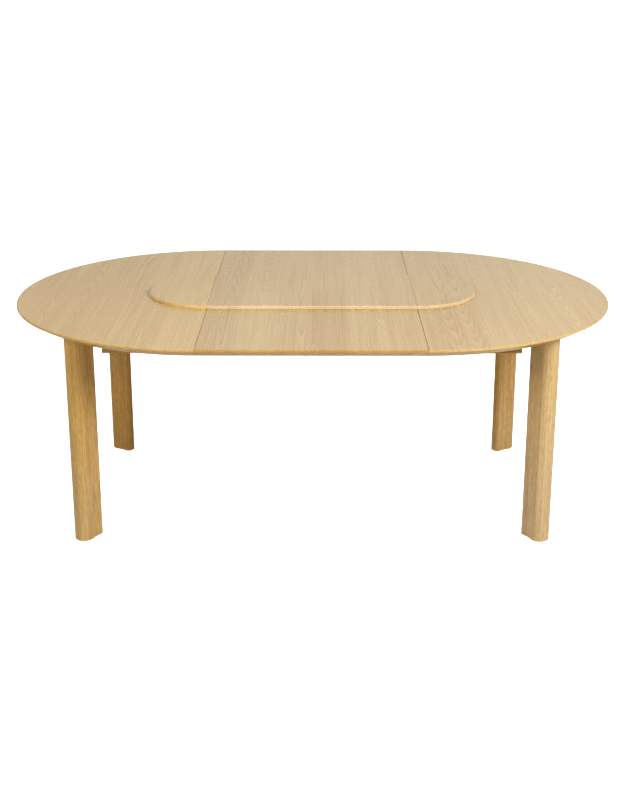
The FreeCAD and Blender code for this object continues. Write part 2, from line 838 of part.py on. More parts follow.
def make_stored_hook(side):
    """Hook swung back along the joint, on the left front (-1) or back (1) base."""
    hook = make_hook().rotated(origin, up, 90)
    if side > 0:
        hook = hook.mirror(origin, Vector(0, 1, 0))
    return moved(hook, -latch_pivot_x, side * latch_offset, latch_top - latch_thickness)


def make_half_top(holes):
    board = half_disc(from_axis(board_edge(half_radius), underside, table_height))
    return bored(board, holes + [joint_arris_cutter(-half_centre_x, table_height, -1)])


def make_half_platform():
    cap = half_disc(from_axis(platform_edge(platform_radius), table_height, platform_top))
    return bored(cap, [joint_arris_cutter(-half_centre_x, platform_top, -1)])


def to_back(solid):
    """Mirror of a front piece at the back of the same half."""
    return solid.mirror(origin, Vector(0, 1, 0))


def to_back_slide(solid):
    """The same piece on the back slide set."""
    return moved(solid, 0, 2 * slide_y)


def front_and_back(solids, carry):
    return solids + [carry(solid) for solid in solids]


def make_left_half():
    """Every piece of the left half by name; front pieces lie towards -Y."""
    runner_holes = board_holes(runner_screw_places())
    apron_holes = board_holes(apron_screw_places())
    holes = at_both_legs(plate_bolt_holes()) + board_holes(cleat_screw_places())
    holes += front_and_back(runner_holes, to_back_slide) + front_and_back(apron_holes, to_back)
    leg = make_leg()
    apron = make_apron()
    runner = make_runner()
    rack = make_rack()
    apron_screws = sunk_screws(apron_screw_places(), apron_bearing())
    runner_screws = sunk_screws(runner_screw_places(), runner_bearing())
    latch_base = make_latch_base()
    return {
        "top": make_half_top(holes),
        "platform": make_half_platform(),
        "front_leg": at_leg(leg, -1),
        "back_leg": at_leg(leg, 1),
        "glides": at_both_legs(make_glides()),
        "leg_plates": at_both_legs([make_leg_plate()]),
        "plate_bolts": at_both_legs(make_plate_bolts()),
        "leg_screws": at_both_legs(leg_screw_set(countersunk_screw)),
        "front_apron": apron,
        "back_apron": to_back(apron),
        "apron_screws": front_and_back(apron_screws, to_back),
        "front_runner": runner,
        "back_runner": to_back_slide(runner),
        "front_rack": rack,
        "back_rack": to_back_slide(rack),
        "runner_screws": front_and_back(runner_screws, to_back_slide),
        "cleat": make_cleat(),
        "cleat_screws": board_screw_set(countersunk_screw, cleat_screw_places(), cleat_thickness),
        "latch_bases": [moved(latch_base, 0, side * latch_offset) for side in (-1, 1)],
        "front_latch_hook": make_stored_hook(-1),
        "back_latch_hook": make_stored_hook(1),
    }


def make_leaf():
    """Every piece that lifts out with the leaf."""
    peg_hole = peg_diameter + screw_hole_clearance
    holes = [rod(peg_hole, peg_seat + screw_hole_clearance, x, y, underside) for x, y in peg_places()]
    holes += board_holes(leaf_batten_screw_places())
    board = leaf_strip(board_edge(half_radius), table_height)
    batten = make_leaf_batten()
    strikes = [moved(make_strike(), 0, side * latch_offset) for side in (-1, 1)]
    return {
        "top": bored(board, holes),
        "platform": leaf_strip(platform_edge(platform_radius), platform_top),
        "left_batten": batten,
        "right_batten": half_turned(batten),
        "batten_screws": leaf_batten_screw_set(countersunk_screw),
        "pegs": make_pegs(),
        "strikes": strikes + [half_turned(strike) for strike in strikes],
    }


def make_centre_frame():
    """Carriers, their axles and the cross battens, with the pinions that turn on them."""
    carrier = make_carrier()
    axle = make_axle()
    pinion = make_pinion()
    cross_batten = make_cross_batten()
    return {
        "front_carrier": carrier,
        "back_carrier": to_back_slide(carrier),
        "front_axle": axle,
        "back_axle": to_back_slide(axle),
        "front_pinion": pinion,
        "back_pinion": to_back_slide(pinion),
        "left_cross_batten": cross_batten,
        "right_cross_batten": half_turned(cross_batten),
        "cross_batten_screws": make_cross_batten_screws(),
        "carrier_stop_dowels": front_and_back(make_stop_dowels(), to_back_slide),
    }


def right_name(name):
    """Name of a left piece once it is turned round to the right half."""
    if name.startswith("front_"):
        return name.replace("front_", "back_", 1)
    return name.replace("back_", "front_", 1) if name.startswith("back_") else name


def save(name, solids):
    """Write one node: a single solid, or a group of separate ones."""
    shape = solids if isinstance(solids, Part.Shape) else Part.makeCompound(solids)
    shape.exportStep("parts/" + name + ".step")


def main():
    os.makedirs("parts", exist_ok=True)
    for name, solids in make_left_half().items():
        group = [solids] if isinstance(solids, Part.Shape) else solids
        turned_group = [half_turned(solid) for solid in group]
        save("left_" + name, group if len(group) > 1 else group[0])
        save("right_" + right_name(name), turned_group if len(group) > 1 else turned_group[0])
    for name, solids in make_leaf().items():
        save("leaf_" + name, solids)
    for name, solids in make_centre_frame().items():
        save(name, solids)


main()
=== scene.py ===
import json
import math

import bmesh
import bpy
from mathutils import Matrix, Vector


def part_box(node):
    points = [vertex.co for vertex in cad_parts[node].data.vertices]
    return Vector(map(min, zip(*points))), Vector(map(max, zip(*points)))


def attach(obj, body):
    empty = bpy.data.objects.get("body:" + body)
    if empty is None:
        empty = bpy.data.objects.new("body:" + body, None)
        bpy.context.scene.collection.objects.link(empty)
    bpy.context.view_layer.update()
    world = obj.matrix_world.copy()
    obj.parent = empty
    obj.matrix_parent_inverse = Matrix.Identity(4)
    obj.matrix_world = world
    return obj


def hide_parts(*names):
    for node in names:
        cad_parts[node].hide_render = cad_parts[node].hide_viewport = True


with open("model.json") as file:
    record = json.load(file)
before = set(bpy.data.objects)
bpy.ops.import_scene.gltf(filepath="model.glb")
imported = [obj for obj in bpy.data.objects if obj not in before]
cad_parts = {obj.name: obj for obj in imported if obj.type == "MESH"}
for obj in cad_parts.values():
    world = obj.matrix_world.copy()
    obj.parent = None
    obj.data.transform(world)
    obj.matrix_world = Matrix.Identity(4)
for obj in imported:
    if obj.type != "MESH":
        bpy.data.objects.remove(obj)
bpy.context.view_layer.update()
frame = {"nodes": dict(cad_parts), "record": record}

nodes = frame["nodes"]
MM = 0.001
WHITE = (1.0, 1.0, 1.0, 1.0)

# Camera, fitted to the photograph's frame
IMAGE_WIDTH = 625
IMAGE_HEIGHT = 794
FOCAL_LENGTH_PX = 1242.04
AXIS_COLUMN = 312.79
AXIS_ROW = 331.57
SENSOR_SIDE_MM = 36.0
EYE = (0.01865, -4.25085, 1.87844)
LOOK_DOWN_DEG = 16.66
LOOK_LEFT_DEG = 0.23

# Woods: light and dark colour of each. Some are lit and shaded copies of one oak, with painted light and
# shade.
TOP_OAK = ((0.730, 0.545, 0.285), (0.470, 0.290, 0.112))
# Painted light: the left half's top, warmer than TOP_OAK, with more painted diffuse light and less painted
# white reflection
LEFT_LIT_TOP_OAK = ((0.775, 0.563, 0.275), (0.500, 0.298, 0.104))
# Painted light: platform edges paler where the front light falls squarely on them
LIT_EDGE_OAK = ((0.830, 0.665, 0.430), (0.583, 0.417, 0.225))
# Painted shade: the left platform's edge, darker and more golden, turned away from the light on the right
LEFT_SHADED_EDGE_OAK = ((0.795, 0.595, 0.280), (0.555, 0.370, 0.145))
NOSE_OAK = ((0.570, 0.350, 0.110), (0.360, 0.190, 0.044))
# Painted light: the right half's nose paler, lit by the light on the right
LIT_NOSE_OAK = ((0.685, 0.475, 0.195), (0.430, 0.257, 0.079))
# Painted shade: the left half's nose, darker than the right half's, turned away from the light on the right
LEFT_SHADED_NOSE_OAK = ((0.610, 0.395, 0.140), (0.384, 0.212, 0.056))
# Painted shade: the underside darker than the edge, where less light falls
SHADED_UNDER_OAK = ((0.520, 0.315, 0.095), (0.330, 0.170, 0.038))
LEG_OAK = ((0.555, 0.345, 0.112), (0.290, 0.152, 0.036))
# Painted light: legs paler near the floor, where the floor's bounce light falls
BOUNCE_LIT_FOOT_OAK = ((0.545, 0.370, 0.162), (0.290, 0.166, 0.053))
# Painted light: the right front leg paler, lit by the light on the right
LIT_LEG_OAK = ((0.620, 0.440, 0.210), (0.330, 0.200, 0.085))
# Painted light: that leg's foot, paler again with the floor's bounce light
LIT_BOUNCE_FOOT_OAK = ((0.600, 0.440, 0.240), (0.320, 0.205, 0.100))
SLIDE_BEECH = ((0.600, 0.400, 0.235), (0.430, 0.255, 0.130))

# Metals and plastics: the two tones of each
BLACK_COAT = ((0.030, 0.030, 0.031), (0.020, 0.020, 0.021))
ZINC = ((0.62, 0.63, 0.65), (0.50, 0.51, 0.52))
YELLOW_ZINC = ((0.70, 0.56, 0.27), (0.62, 0.47, 0.31))
NATURAL_NYLON = ((0.74, 0.71, 0.62), (0.68, 0.65, 0.56))
BROWN_NYLON = ((0.075, 0.050, 0.035), (0.060, 0.040, 0.028))

# Turns, in degrees, that bring a piece's grain to Y
ALONG_X = (0.0, 0.0, 90.0)
ALONG_Y = (0.0, 0.0, 0.0)
UPRIGHT = (-90.0, 0.0, 0.0)

# Boards: wood of the upper face and of the edge, with painted light and shade in the left half's tones and
# in the paler edge and nose tones. A platform piece goes on with its board's staves.
BOARD_WOODS = {
    "left_top": (LEFT_LIT_TOP_OAK, LEFT_SHADED_NOSE_OAK),
    "left_platform": (LEFT_LIT_TOP_OAK, LEFT_SHADED_EDGE_OAK),
    "leaf_top": (TOP_OAK, NOSE_OAK),
    "leaf_platform": (TOP_OAK, LIT_EDGE_OAK),
    "right_top": (TOP_OAK, LIT_NOSE_OAK),
    "right_platform": (TOP_OAK, LIT_EDGE_OAK),
}
BOARD_SEEDS = {"left": 16.0, "leaf": 105.0, "right": 82.0}
STAVE_WIDTH = 118.4 * MM
# Facings over which the edge's tone gives way to the top's: partly the edge grain, partly painted light
FACES_UP = (0.60, 0.95)
# Painted shade: facings over which the edge's tone darkens to the underside's
UNDERSIDE_SHADE_FACING = (-0.6, -0.2)
BOARD_SHEEN = 0.5

# Legs: wood of the upper part, and of the foot with painted bounce light from the floor; the right front
# leg's pale tones are painted light. Legs and rails are each one plank.
LEG_WOODS = {
    "left_front_leg": (LEG_OAK, BOUNCE_LIT_FOOT_OAK),
    "left_back_leg": (LEG_OAK, LEG_OAK),
    "right_front_leg": (LIT_LEG_OAK, LIT_BOUNCE_FOOT_OAK),
    "right_back_leg": (LEG_OAK, BOUNCE_LIT_FOOT_OAK),
}
FIRST_LEG_SEED = 5.0
LEG_SHIFT = 0.37
RAIL_SEED = 3.0
WHOLE_PLANK = 2.0
# Painted bounce light: heights over which the foot's tone gives way to the leg's
BOUNCE_LIGHT_FADE = (0.05, 0.60)
LEG_SHEEN = 0.22

# Growth rings of the oak, round a pith that leans through each stave
RING_WIDTH = 5.5 * MM
PITH_REACH = 0.70
PEAK_REACH = 0.75
LEAST_LEAN = 0.02
LEAN_SPAN = 0.045
LEAST_DEPTH = 8.0 * MM
DEPTH_SPAN = 30.0 * MM
SWAY = 30.0 * MM
WOBBLE = 3.0 * MM
RING_SHARPNESS = 2.0
PITH_DICE = 17.3
PEAK_DICE = 61.1
LEAN_DICE = 31.7
DEPTH_DICE = 47.9

# Marks in the oak, in cycles per metre across the grain, along it and through the board
SWAY_SCALE = (1.5, 1.6, 1.5)
WOBBLE_SCALE = (60.0, 3.0, 60.0)
RING_PATCH_SCALE = (8.0, 0.9, 8.0)
STREAK_SCALE = (210.0, 1.3, 210.0)
FIBRE_SCALE = (420.0, 5.0, 420.0)
PORE_SCALE = (900.0, 26.0, 900.0)
BAND_SCALE = (34.0, 1.1, 34.0)
CLOUD_SCALE = (3.2, 0.8, 3.2)
FLECK_SCALE = (240.0, 36.0, 240.0)
KNOTS_PER_METRE = 6.0
KNOT_RADIUS = 5.0 * MM
KNOT_CORE = 0.3

# Where each mark starts and is full, and how much it darkens the oak
RING_PATCH_STEP = (0.15, 0.60)
STREAK_STEP = (0.28, 0.75)
PORE_STEP = (0.54, 0.72)
RING_SHADE = 0.38
STREAK_SHADE = 0.37
FIBRE_SHADE = 0.20
PORE_SHADE = 0.16
STAVE_SHADE = 0.11
BAND_SHADE = 0.22
CLOUD_SHADE = 0.20
FLECK_SHADE = 0.55

# Surface of the oak
OAK_IOR = 1.45
OAK_ROUGHNESS = 0.27
PORE_ROUGHNESS = 0.15
STREAK_HEIGHT = 0.5
OAK_BUMP = 0.05
OAK_RELIEF = 0.15 * MM

# Beech of the slides
BEECH_BAND_SCALE = (36.0, 0.9, 36.0)
BEECH_FIBRE_SCALE = (380.0, 5.0, 380.0)
RAY_SCALE = (900.0, 120.0, 900.0)
RAY_STEP = (0.60, 0.70)
RAY_SHADE = 0.35
BEECH_FIBRE_SHADE = 0.25
BEECH_ROUGHNESS = 0.42
BEECH_FIBRE_ROUGHNESS = 0.15
BEECH_BUMP = 0.06
BEECH_RELIEF = 0.12 * MM

# Coats of the metals and plastics
COAT_CLOUD_SCALE = (45.0, 45.0, 45.0)
COAT_CLOUD_STEP = (0.35, 0.65)
COAT_TEXTURE_SCALE = (900.0, 900.0, 900.0)
COAT_TEXTURE_SHADE = 0.3
COAT_TEXTURE_ROUGHNESS = 0.2
COAT_RELIEF = 0.1 * MM

# Screws and bolts, which stand on their heads
SCREW_HEAD = 10.0 * MM
SCREW_SHANK = 5.0 * MM
FLUSH_FLAT = 0.96
FLUSH_LIP = 0.03
PAN_HEIGHT = 2.5 * MM
PAN_FLAT = 0.35
BOLT_HEAD = 13.0 * MM
BOLT_SHANK = 8.0 * MM
BOLT_HEAD_HEIGHT = 5.0 * MM
BOLT_FLAT = 0.62
DOME_SHARE = 0.8
DOME_STEPS = 5
TURN_STEPS = 28
WELD_GAP = 0.001 * MM
SCREW_ROOM = 14.0 * MM

# Driver recesses
CROSS_REACH = 2.9 * MM
CROSS_WIDTH = 1.5 * MM
CROSS_DEPTH = 1.7 * MM
CROSS_TAPER = 0.55
HEXAGON_RADIUS = 3.4 * MM
HEXAGON_DEPTH = 3.0 * MM
HEXAGON_TAPER = 1.0

# Low screws of the latch plates. Shares are of the head's radius and of its rise.
PLATE_ROOM = 70.0 * MM
PLATE_THICKNESS = 3.0 * MM
PLATE_SCREW_RADIUS = 2.6 * MM
PLATE_SCREW_RISE = 0.3 * MM
PLATE_SCREW_INSET = 5.0 * MM
PLATE_SCREW_SHARES = ((0.0, 0.0), (0.5, 0.15), (0.85, 0.5), (1.0, 1.0), (1.0, 3.0), (0.0, 3.0))
PLATE_CROSS_REACH = 0.55
PLATE_CROSS_WIDTH = 0.3
PLATE_CROSS_DEPTH = 0.8
PLATE_CROSS_TAPER = 0.8

# Fixings of each half and the kind of screw in them, with the seeds of their turns
HALF_SCREWS = {
    "_cleat_screws": "flush",
    "_apron_screws": "pan",
    "_runner_screws": "pan",
    "_plate_bolts": "bolt",
}
HALF_SEEDS = {"left": 10, "right": 20}
HALF_PLATE_SEED = 9

# Inputs of the screw node group
SCREW_INPUTS = {
    "Points": "NodeSocketGeometry",
    "Screw": "NodeSocketObject",
    "Recess": "NodeSocketObject",
    "Coat": "NodeSocketMaterial",
    "Seed": "NodeSocketInt",
}

# Studio floor and surround
FLOOR_REACH = 30.0
FLOOR_DROP = 0.3 * MM
FLOOR_COLOUR = (0.93, 0.93, 0.93, 1.0)
FLOOR_ROUGHNESS = 0.9
FLOOR_GLOW = 0.9
SOLE_GLOW = 0.4
SOLE_GLOW_REACH = 6.0 * MM
SURROUND_LIGHT = 0.05
SURROUND_GLOSS = 0.72
LEFT_GLOSS = 0.55
GLOSS_FADE = 0.30

# Softboxes: place, side in metres and power in watts, all turned to the middle of the table
SOFTBOXES = {
    "right_softbox": ((3.05, -3.05, 3.2), 1.5, 178.0),
    "left_softbox": ((-2.8, -3.5, 2.9), 1.5, 94.0),
    "back_left_softbox": ((-3.1, 3.1, 2.6), 2.4, 50.0),
    "back_right_softbox": ((3.1, 3.1, 2.6), 2.4, 50.0),
}
LIT_POINT = (0.0, 0.0, 0.5)


class Finish:
    """A material and its node tree, with short calls for the nodes that the finishes are made of."""

    def __init__(self, name):
        self.material = bpy.data.materials.new(name)
        self.material.use_nodes = True
        self.tree = self.material.node_tree
        self.tree.nodes.clear()
        self.surface = self.tree.nodes.new("ShaderNodeBsdfPrincipled")
        output = self.tree.nodes.new("ShaderNodeOutputMaterial")
        self.tree.links.new(self.surface.outputs["BSDF"], output.inputs["Surface"])

    def feed(self, socket, value):
        """Link a socket, or set it to a plain value."""
        if isinstance(value, bpy.types.NodeSocket):
            self.tree.links.new(value, socket)
        else:
            socket.default_value = value

    def set(self, **values):
        """Feed the surface's sockets by name, with underscores for spaces."""
        for name, value in values.items():
            self.feed(self.surface.inputs[name.replace("_", " ")], value)

    def math(self, operation, *values):
        node = self.tree.nodes.new("ShaderNodeMath")
        node.operation = operation
        for socket, value in zip(node.inputs, values):
            self.feed(socket, value)
        return node.outputs[0]

    def add(self, a, b):
        return self.math("ADD", a, b)

    def less(self, a, b):
        return self.math("SUBTRACT", a, b)

    def times(self, a, b):
        return self.math("MULTIPLY", a, b)

    def line(self, value, slope, start):
        """Start where the value is 0, and slope more where it is 1."""
        return self.math("MULTIPLY_ADD", value, slope, start)

    def spread(self, value, amount):
        """A 0 to 1 value moved to run from -amount to +amount."""
        return self.line(value, 2 * amount, -amount)

    def between(self, value, low, high):
        """0 below low, 1 above high, and a smooth step from one to the other."""
        node = self.tree.nodes.new("ShaderNodeMapRange")
        node.interpolation_type = "SMOOTHSTEP"
        self.feed(node.inputs["Value"], value)
        self.feed(node.inputs["From Min"], low)
        self.feed(node.inputs["From Max"], high)
        return node.outputs["Result"]

    def place(self, turn=(0.0, 0.0, 0.0), shift=(0.0, 0.0, 0.0)):
        """Object coordinates, turned and then shifted."""
        coordinates = self.tree.nodes.new("ShaderNodeTexCoord")
        mapping = self.tree.nodes.new("ShaderNodeMapping")
        mapping.inputs["Rotation"].default_value = [math.radians(angle) for angle in turn]
        mapping.inputs["Location"].default_value = shift
        self.feed(mapping.inputs["Vector"], coordinates.outputs["Object"])
        return mapping.outputs["Vector"]

    def parts(self, vector):
        node = self.tree.nodes.new("ShaderNodeSeparateXYZ")
        self.feed(node.inputs["Vector"], vector)
        return node.outputs["X"], node.outputs["Y"], node.outputs["Z"]

    def noise(self, place, scale, detail=2.0, roughness=0.5):
        """Soft 0 to 1 noise with a scale of its own on each axis."""
        stretch = self.tree.nodes.new("ShaderNodeVectorMath")
        stretch.operation = "MULTIPLY"
        self.feed(stretch.inputs[0], place)
        stretch.inputs[1].default_value = scale
        node = self.tree.nodes.new("ShaderNodeTexNoise")
        node.inputs["Scale"].default_value = 1.0
        node.inputs["Detail"].default_value = detail
        node.inputs["Roughness"].default_value = roughness
        self.feed(node.inputs["Vector"], stretch.outputs["Vector"])
        return node.outputs["Fac"]

    def dice(self, number, seed):
        """A random 0 to 1 value for each whole number."""
        node = self.tree.nodes.new("ShaderNodeTexWhiteNoise")
        node.noise_dimensions = "1D"
        self.feed(node.inputs["W"], self.add(number, seed))
        return node.outputs["Value"]

    def knots(self, place):
        """1 inside a few small knots, and a soft edge round each."""
        node = self.tree.nodes.new("ShaderNodeTexVoronoi")
        node.inputs["Scale"].default_value = KNOTS_PER_METRE
        self.feed(node.inputs["Vector"], place)
        reach = KNOT_RADIUS * KNOTS_PER_METRE
        return self.less(1.0, self.between(node.outputs["Distance"], KNOT_CORE * reach, reach))

    def facing(self, low, high):
        """0 where the surface faces further down than low, 1 where it faces further up than high."""
        geometry = self.tree.nodes.new("ShaderNodeNewGeometry")
        return self.between(self.parts(geometry.outputs["Normal"])[2], low, high)

    def blend(self, amount, first, second):
        """Colour between two others, each a socket or three plain values."""
        node = self.tree.nodes.new("ShaderNodeMix")
        node.data_type = "RGBA"
        self.feed(node.inputs["Factor"], amount)
        for socket, colour in zip((node.inputs[6], node.inputs[7]), (first, second)):
            self.feed(socket, colour if isinstance(colour, bpy.types.NodeSocket) else (*colour, 1.0))
        return node.outputs[2]

    def bump(self, height, strength, distance):
        node = self.tree.nodes.new("ShaderNodeBump")
        node.inputs["Strength"].default_value = strength
        node.inputs["Distance"].default_value = distance
        self.feed(node.inputs["Height"], height)
        self.feed(self.surface.inputs["Normal"], node.outputs["Normal"])


def growth_rings(finish, place, stave_width, seed):
    """Number of the stave at each place, and the dark side of its growth rings."""
    across, along, depth = finish.parts(place)
    stave = finish.math("FLOOR", finish.math("DIVIDE", across, stave_width))
    middle = finish.times(finish.add(stave, 0.5), stave_width)
    pith = finish.spread(finish.dice(stave, seed + PITH_DICE), PITH_REACH * stave_width)
    peak = finish.spread(finish.dice(stave, seed + PEAK_DICE), PEAK_REACH)
    lean = finish.line(finish.dice(stave, seed + LEAN_DICE), LEAN_SPAN, LEAST_LEAN)
    below = finish.line(finish.dice(stave, seed + DEPTH_DICE), DEPTH_SPAN, LEAST_DEPTH)
    sway = finish.spread(finish.noise(place, SWAY_SCALE), SWAY)
    wobble = finish.spread(finish.noise(place, WOBBLE_SCALE), WOBBLE)
    from_pith = finish.add(finish.less(finish.less(across, middle), pith), sway)
    from_peak = finish.times(finish.less(along, peak), lean)
    cut = finish.add(below, depth)
    square = finish.add(finish.times(from_pith, from_pith), finish.times(from_peak, from_peak))
    radius = finish.math("SQRT", finish.add(square, finish.times(cut, cut)))
    ring = finish.math("FRACT", finish.math("DIVIDE", finish.add(radius, wobble), RING_WIDTH))
    return stave, finish.math("POWER", ring, RING_SHARPNESS)


def oak_grain(finish, place, stave_width, seed):
    """How dark the oak is at each place, and the streaks and pores that also show in its surface."""
    stave, rings = growth_rings(finish, place, stave_width, seed)
    patches = finish.between(finish.noise(place, RING_PATCH_SCALE), *RING_PATCH_STEP)
    streaks = finish.between(finish.noise(place, STREAK_SCALE, detail=3.0, roughness=0.7), *STREAK_STEP)
    fibres = finish.noise(place, FIBRE_SCALE, roughness=0.6)
    pores = finish.between(finish.noise(place, PORE_SCALE, roughness=0.6), *PORE_STEP)
    clouds = finish.noise(place, CLOUD_SCALE)
    bands = finish.noise(place, BAND_SCALE, detail=3.0, roughness=0.6)
    shade = finish.times(finish.times(rings, patches), RING_SHADE)
    shade = finish.add(shade, finish.times(streaks, STREAK_SHADE))
    shade = finish.add(shade, finish.spread(fibres, FIBRE_SHADE))
    shade = finish.add(shade, finish.times(pores, PORE_SHADE))
    shade = finish.add(shade, finish.spread(finish.dice(stave, seed), STAVE_SHADE))
    shade = finish.add(shade, finish.spread(clouds, CLOUD_SHADE))
    shade = finish.add(shade, finish.spread(bands, BAND_SHADE))
    return finish.add(shade, finish.knots(place)), streaks, pores


def oiled(finish, colour, sheen, streaks, pores):
    """Matt oil finish, duller and a little sunk in the pores."""
    finish.set(Base_Color=colour, IOR=OAK_IOR, Specular_IOR_Level=sheen)
    finish.set(Roughness=finish.line(pores, PORE_ROUGHNESS, OAK_ROUGHNESS))
    finish.bump(finish.add(pores, finish.times(streaks, STREAK_HEIGHT)), OAK_BUMP, OAK_RELIEF)
    return finish.material


def board_oak(name, wood, edge, shift, seed):
    """Oak staves along Y, with other tones on the edge, partly painted light, and painted shade on the
    underside.
    """
    finish = Finish(name)
    shade, streaks, pores = oak_grain(finish, finish.place(ALONG_Y, shift), STAVE_WIDTH, seed)
    # Painted shade: the underside darker than the edge
    shaded_underside = finish.blend(shade, *SHADED_UNDER_OAK)
    sides = finish.blend(finish.facing(*UNDERSIDE_SHADE_FACING), shaded_underside, finish.blend(shade, *edge))
    # The top's tone beside the edge's: partly the edge grain, partly painted light
    colour = finish.blend(finish.facing(*FACES_UP), sides, finish.blend(shade, *wood))
    return oiled(finish, colour, BOARD_SHEEN, streaks, pores)


def plank_oak(name, wood, bounce_lit_wood, turn, shift, seed):
    """Oak in one plank with short flecks, and a tone near the floor that paints the floor's bounce light.
    """
    finish = Finish(name)
    place = finish.place(turn, shift)
    shade, streaks, pores = oak_grain(finish, place, WHOLE_PLANK, seed)
    flecks = finish.noise(place, FLECK_SCALE, roughness=0.65)
    shade = finish.add(shade, finish.spread(flecks, FLECK_SHADE))
    # Painted bounce light: the foot's tone near the floor, fading to the leg's higher up
    height = finish.between(finish.parts(finish.place())[2], *BOUNCE_LIGHT_FADE)
    colour = finish.blend(height, finish.blend(shade, *bounce_lit_wood), finish.blend(shade, *wood))
    return oiled(finish, colour, LEG_SHEEN, streaks, pores)


def slide_beech(name, turn):
    """Planed beech: even, warm, with short dark ray flecks along the grain."""
    finish = Finish(name)
    place = finish.place(turn)
    bands = finish.noise(place, BEECH_BAND_SCALE, detail=3.0, roughness=0.6)
    fibres = finish.noise(place, BEECH_FIBRE_SCALE)
    rays = finish.between(finish.noise(place, RAY_SCALE, detail=1.0), *RAY_STEP)
    shade = finish.add(finish.line(rays, RAY_SHADE, finish.spread(fibres, BEECH_FIBRE_SHADE)), bands)
    finish.set(Base_Color=finish.blend(shade, *SLIDE_BEECH))
    finish.set(Roughness=finish.line(fibres, BEECH_FIBRE_ROUGHNESS, BEECH_ROUGHNESS))
    finish.bump(finish.less(fibres, rays), BEECH_BUMP, BEECH_RELIEF)
    return finish.material


def coated(name, tones, roughness, metallic=0.0, bump=0.10):
    """Plated, powder coated or moulded surface: two tones in soft clouds, and a fine texture."""
    finish = Finish(name)
    place = finish.place()
    clouds = finish.between(finish.noise(place, COAT_CLOUD_SCALE), *COAT_CLOUD_STEP)
    texture = finish.noise(place, COAT_TEXTURE_SCALE)
    shade = finish.add(clouds, finish.spread(texture, COAT_TEXTURE_SHADE))
    finish.set(Base_Color=finish.blend(shade, *tones), Metallic=metallic)
    finish.set(Roughness=finish.line(texture, COAT_TEXTURE_ROUGHNESS, roughness))
    finish.bump(texture, bump, COAT_RELIEF)
    return finish.material


def paint(name, material):
    slots = nodes[name].data.materials
    slots.clear()
    slots.append(material)


def made(name, data):
    """New object in the scene."""
    piece = bpy.data.objects.new(name, data)
    bpy.context.scene.collection.objects.link(piece)
    return piece


def turned(name, profile):
    """Solid turned about Z from (radius, height) points, head down."""
    shape = bmesh.new()
    points = [shape.verts.new((radius, 0.0, height)) for radius, height in profile]
    lines = [shape.edges.new(pair) for pair in zip(points, points[1:])]
    bmesh.ops.spin(
        shape, geom=points + lines, cent=(0, 0, 0), axis=(0, 0, 1), angle=math.tau, steps=TURN_STEPS
    )
    bmesh.ops.remove_doubles(shape, verts=shape.verts, dist=WELD_GAP)
    bmesh.ops.recalc_face_normals(shape, faces=shape.faces)
    mesh = bpy.data.meshes.new(name)
    shape.to_mesh(mesh)
    shape.free()
    return made(name, mesh)


def driver_recess(name, outline, depth, taper):
    """Closed block that cuts the driver's recess up into a head, narrower at its end."""
    count = len(outline)
    corners = [(x, y, -depth) for x, y in outline]
    corners += [(taper * x, taper * y, depth) for x, y in outline]
    faces = [tuple(reversed(range(count))), tuple(range(count, 2 * count))]
    faces += [(i, (i + 1) % count, count + (i + 1) % count, count + i) for i in range(count)]
    mesh = bpy.data.meshes.new(name)
    mesh.from_pydata(corners, [], faces)
    return made(name, mesh)


def cross_outline(reach, width):
    half = width / 2
    arm = [(reach, -half), (reach, half), (half, half)]
    outline = []
    for _ in range(4):
        outline += arm
        arm = [(-y, x) for x, y in arm]
    return outline


def hexagon_outline(radius):
    angles = [side * math.tau / 6 for side in range(6)]
    return [(radius * math.cos(angle), radius * math.sin(angle)) for angle in angles]


def flush_profile(length):
    """Countersunk head with a thin lip, on a shank that ends in a cone."""
    head = SCREW_HEAD / 2
    shank = SCREW_SHANK / 2
    cone = head - shank
    profile = [(0, 0), (FLUSH_FLAT * head, 0), (head, FLUSH_LIP * cone)]
    return profile + [(shank, cone), (shank, length - shank), (0, length)]


def domed_profile(head, head_height, shank, flat, length):
    """Round-edged head with a flat middle, on a plain shank."""
    profile = [(0, 0), (flat * head, 0)]
    for step in range(1, DOME_STEPS + 1):
        angle = step * math.pi / (2 * DOME_STEPS)
        reach = flat + (1 - flat) * math.sin(angle)
        profile.append((reach * head, DOME_SHARE * head_height * (1 - math.cos(angle))))
    return profile + [(head, head_height), (shank, head_height), (shank, length), (0, length)]


def profile_of(kind, length):
    if kind == "flush":
        return flush_profile(length)
    if kind == "pan":
        return domed_profile(SCREW_HEAD / 2, PAN_HEIGHT, SCREW_SHANK / 2, PAN_FLAT, length)
    return domed_profile(BOLT_HEAD / 2, BOLT_HEAD_HEIGHT, BOLT_SHANK / 2, BOLT_FLAT, length)


